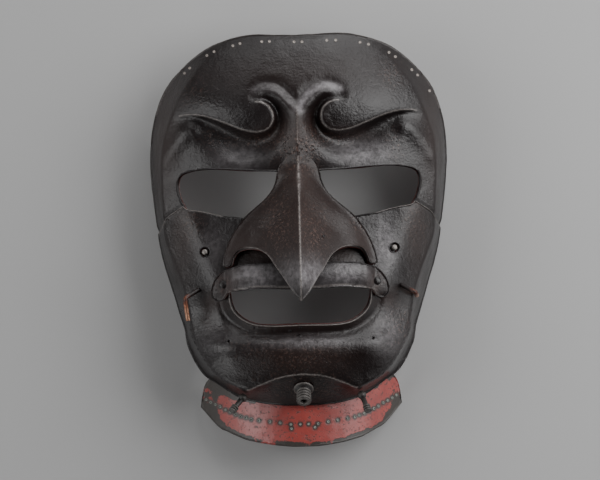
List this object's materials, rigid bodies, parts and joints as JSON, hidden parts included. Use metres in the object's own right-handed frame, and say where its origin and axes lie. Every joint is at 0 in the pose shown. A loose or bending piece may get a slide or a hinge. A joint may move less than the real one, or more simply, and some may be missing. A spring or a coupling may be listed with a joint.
{
  "type": "tengu mask",
  "caption": "Full-face armour mask with a beaked nose, frowning brow, open eyes and mouth, riveted lip band, cord fittings and a red throat plate; lies face up.",
  "frame": {"origin": "middle of the bounding box on the surface that the mask lies on", "axes": "the mask lies on its back edge with the face up: +X to the viewer's right, +Y towards the forehead, +Z out of the face"},
  "size_m": [0.177, 0.246, 0.1118],
  "materials": {
    "russet_lacquer": "semi-gloss russet-black lacquer over hammered iron, pitted and rubbed",
    "red_lacquer": "red lacquer over iron, worn away along the hem and the ends",
    "blackened_iron": "blackened iron, rubbed on the rings",
    "worn_copper": "copper wire with the last of its red lacquer"
  },
  "bodies": {
    "root": {"brow_plate": "russet_lacquer", "cheek_and_chin_plate": "russet_lacquer", "nose": "russet_lacquer", "lip_band": "russet_lacquer", "throat_collar": "red_lacquer", "sweat_spout": "blackened_iron", "cord_peg_left": "blackened_iron", "cord_peg_right": "blackened_iron", "locking_pin_left": "blackened_iron", "locking_pin_right": "blackened_iron", "band_rivet_left": "blackened_iron", "band_rivet_right": "blackened_iron", "cord_hook_left": "worn_copper", "cord_hook_right": "worn_copper"}
  },
  "joints": []
}
